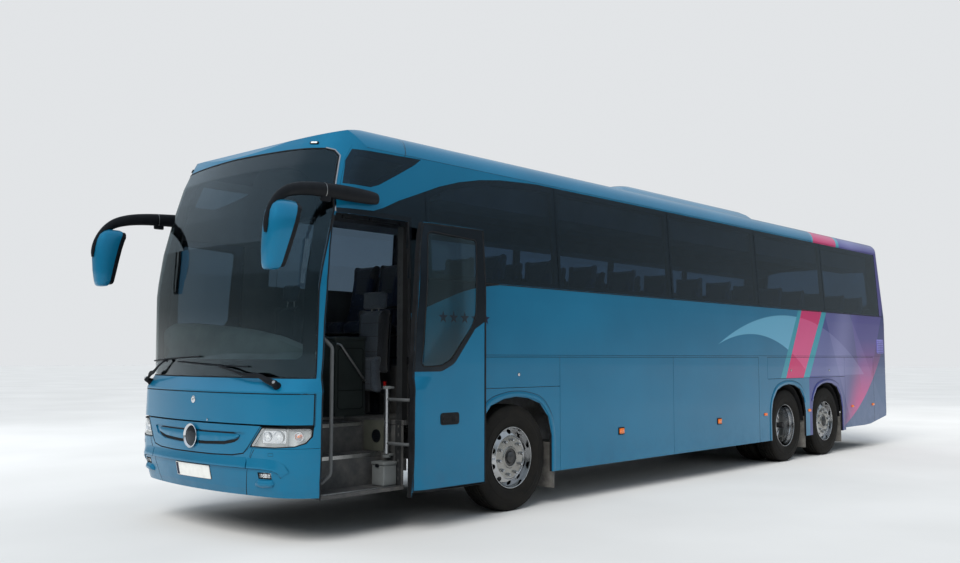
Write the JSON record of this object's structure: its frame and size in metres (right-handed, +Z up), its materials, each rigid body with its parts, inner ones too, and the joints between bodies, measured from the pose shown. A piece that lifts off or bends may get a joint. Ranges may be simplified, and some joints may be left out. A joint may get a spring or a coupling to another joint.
{
  "type": "three-axle touring coach bus",
  "caption": "Full-size three-axle touring coach with its passenger door open, steered front wheels, spinning wheels, lifting luggage doors and flaps, and a hollow seated saloon.",
  "frame": {"origin": "middle of the outline on the ground, between the mirrors and the tail", "axes": "+Z up; the front faces -Y; +X is the vehicle's left, where the passenger door is"},
  "size_m": [3, 13.23, 3.6223],
  "materials": {
    "body_paint": "clear-coated metallic blue",
    "dark_glass": "tinted",
    "clear_glass": "lightly tinted",
    "lamp_glass": "clear",
    "tail_lens": "moulded lens",
    "tyre": "matt",
    "wheel_steel": "polished",
    "chassis": "black chassis paint",
    "black_plastic": "grained",
    "grey_plastic": "grained",
    "floor_cover": "ribbed",
    "cloth": "woven",
    "rail_metal": "satin",
    "iron": "oily",
    "rubber": "matt"
  },
  "bodies": {
    "body": {"aircon_pod": "body_paint", "dashboard": "grey_plastic", "drive_axle": "chassis", "drivers_seat": "cloth", "engine_block": "iron", "front_axle": "chassis", "front_bumper": "body_paint", "front_mask": "body_paint", "grab_rails": "rail_metal", "grille_panel": "body_paint", "headlamps": "lamp_glass", "left_side_wall": "body_paint", "luggage_bays": "chassis", "luggage_racks": "grey_plastic", "mirrors": "black_plastic", "mudflaps": "rubber", "passenger_seats": "cloth", "rear_bumper": "body_paint", "rear_panel": "body_paint", "rear_window": "dark_glass", "right_side_wall": "body_paint", "roof_hatches": "body_paint", "roof_shell": "body_paint", "saloon_floor": "floor_cover", "side_windows": "dark_glass", "steering_wheel": "black_plastic", "tag_axle": "chassis", "tail_lamps": "tail_lens", "underframe": "chassis", "windscreen": "clear_glass", "wipers": "black_plastic"},
    "front_left_wheel": {"front_left_tyre": "tyre", "front_left_rim": "wheel_steel"},
    "front_right_wheel": {"front_right_tyre": "tyre", "front_right_rim": "wheel_steel"},
    "drive_left_wheel": {"drive_left_tyre": "tyre", "drive_left_rim": "wheel_steel"},
    "drive_right_wheel": {"drive_right_tyre": "tyre", "drive_right_rim": "wheel_steel"},
    "tag_left_wheel": {"tag_left_tyre": "tyre", "tag_left_rim": "wheel_steel"},
    "tag_right_wheel": {"tag_right_tyre": "tyre", "tag_right_rim": "wheel_steel"},
    "left_knuckle": {"knuckle_left": "chassis"},
    "right_knuckle": {"knuckle_right": "chassis"},
    "door_arm": {"door_swing_arm": "rail_metal"},
    "door_leaf": {"passenger_door": "body_paint", "passenger_door_glass": "clear_glass"},
    "fuel_flap_left": {"fuel_flap_left": "body_paint"},
    "fuel_flap_right": {"fuel_flap_right": "body_paint"},
    "bay_door_front_left": {"bay_door_front_left": "body_paint"},
    "bay_door_front_right": {"bay_door_front_right": "body_paint"},
    "bay_door_rear_left": {"bay_door_rear_left": "body_paint"},
    "bay_door_rear_right": {"bay_door_rear_right": "body_paint"},
    "arch_flap_left": {"arch_flap_left": "body_paint"},
    "arch_flap_right": {"arch_flap_right": "body_paint"},
    "engine_side_door_left": {"engine_side_door_left": "body_paint"},
    "engine_side_door_right": {"engine_side_door_right": "body_paint"},
    "engine_lid": {"engine_lid": "body_paint"},
    "front_flap": {"front_flap": "body_paint"}
  },
  "joints": [
    {"name": "steer_left", "type": "hinge", "parent": "body", "child": "left_knuckle", "pos_m": [0.93, -3.565, 0.515], "axis": [0, 0, 1], "range_deg": [-42, 42]},
    {"name": "steer_right", "type": "hinge", "parent": "body", "child": "right_knuckle", "pos_m": [-0.93, -3.565, 0.515], "axis": [0, 0, 1], "range_deg": [-42, 42]},
    {"name": "front_left_spin", "type": "hinge", "parent": "left_knuckle", "child": "front_left_wheel", "pos_m": [1.1, -3.565, 0.515], "axis": [1, 0, 0], "continuous": true},
    {"name": "front_right_spin", "type": "hinge", "parent": "right_knuckle", "child": "front_right_wheel", "pos_m": [-1.1, -3.565, 0.515], "axis": [1, 0, 0], "continuous": true},
    {"name": "drive_left_spin", "type": "hinge", "parent": "body", "child": "drive_left_wheel", "pos_m": [1.1, 2.515, 0.515], "axis": [1, 0, 0], "continuous": true},
    {"name": "drive_right_spin", "type": "hinge", "parent": "body", "child": "drive_right_wheel", "pos_m": [-1.1, 2.515, 0.515], "axis": [1, 0, 0], "continuous": true},
    {"name": "tag_left_spin", "type": "hinge", "parent": "body", "child": "tag_left_wheel", "pos_m": [1.1, 3.865, 0.515], "axis": [1, 0, 0], "continuous": true},
    {"name": "tag_right_spin", "type": "hinge", "parent": "body", "child": "tag_right_wheel", "pos_m": [-1.1, 3.865, 0.515], "axis": [1, 0, 0], "continuous": true},
    {"name": "door_swing", "type": "hinge", "parent": "body", "child": "door_arm", "pos_m": [1.06, -5.065, 0.93], "axis": [0, 0, 1], "range_deg": [-123.86, 0]},
    {"name": "door_leaf_pivot", "type": "hinge", "parent": "door_arm", "child": "door_leaf", "pos_m": [1.365, -4.69783, 0.93], "axis": [0, 0, 1], "range_deg": [0, 123.87]},
    {"name": "fuel_flap_left_hinge", "type": "hinge", "parent": "body", "child": "fuel_flap_left", "pos_m": [1.277, -3.44, 1.4905], "axis": [0, -1, 0], "range_deg": [0, 100]},
    {"name": "fuel_flap_right_hinge", "type": "hinge", "parent": "body", "child": "fuel_flap_right", "pos_m": [-1.277, -3.44, 1.4905], "axis": [0, 1, 0], "range_deg": [0, 100]},
    {"name": "bay_door_front_left_hinge", "type": "hinge", "parent": "body", "child": "bay_door_front_left", "pos_m": [1.277, -1.75, 1.4905], "axis": [0, -1, 0], "range_deg": [0, 100]},
    {"name": "bay_door_front_right_hinge", "type": "hinge", "parent": "body", "child": "bay_door_front_right", "pos_m": [-1.277, -1.75, 1.4905], "axis": [0, 1, 0], "range_deg": [0, 100]},
    {"name": "bay_door_rear_left_hinge", "type": "hinge", "parent": "body", "child": "bay_door_rear_left", "pos_m": [1.277, 0.475, 1.4905], "axis": [0, -1, 0], "range_deg": [0, 100]},
    {"name": "bay_door_rear_right_hinge", "type": "hinge", "parent": "body", "child": "bay_door_rear_right", "pos_m": [-1.277, 0.475, 1.4905], "axis": [0, 1, 0], "range_deg": [0, 100]},
    {"name": "arch_flap_left_hinge", "type": "hinge", "parent": "body", "child": "arch_flap_left", "pos_m": [1.277, 3.2125, 1.4905], "axis": [0, -1, 0], "range_deg": [0, 100]},
    {"name": "arch_flap_right_hinge", "type": "hinge", "parent": "body", "child": "arch_flap_right", "pos_m": [-1.277, 3.2125, 1.4905], "axis": [0, 1, 0], "range_deg": [0, 100]},
    {"name": "engine_side_door_left_hinge", "type": "hinge", "parent": "body", "child": "engine_side_door_left", "pos_m": [1.277, 5.1775, 1.4905], "axis": [0, -1, 0], "range_deg": [0, 95]},
    {"name": "engine_side_door_right_hinge", "type": "hinge", "parent": "body", "child": "engine_side_door_right", "pos_m": [-1.277, 5.1775, 1.4905], "axis": [0, 1, 0], "range_deg": [0, 95]},
    {"name": "engine_lid_hinge", "type": "hinge", "parent": "body", "child": "engine_lid", "pos_m": [0, 6.617, 1.9825], "axis": [1, 0, 0], "range_deg": [0, 80]},
    {"name": "front_flap_hinge", "type": "hinge", "parent": "body", "child": "front_flap", "pos_m": [0, -6.324, 1.1925], "axis": [-1, 0, 0], "range_deg": [0, 75]}
  ],
  "couplings": [
    {"joint": "steer_right", "follows": "steer_left", "ratio": 1},
    {"joint": "door_leaf_pivot", "follows": "door_swing", "ratio": -1}
  ]
}
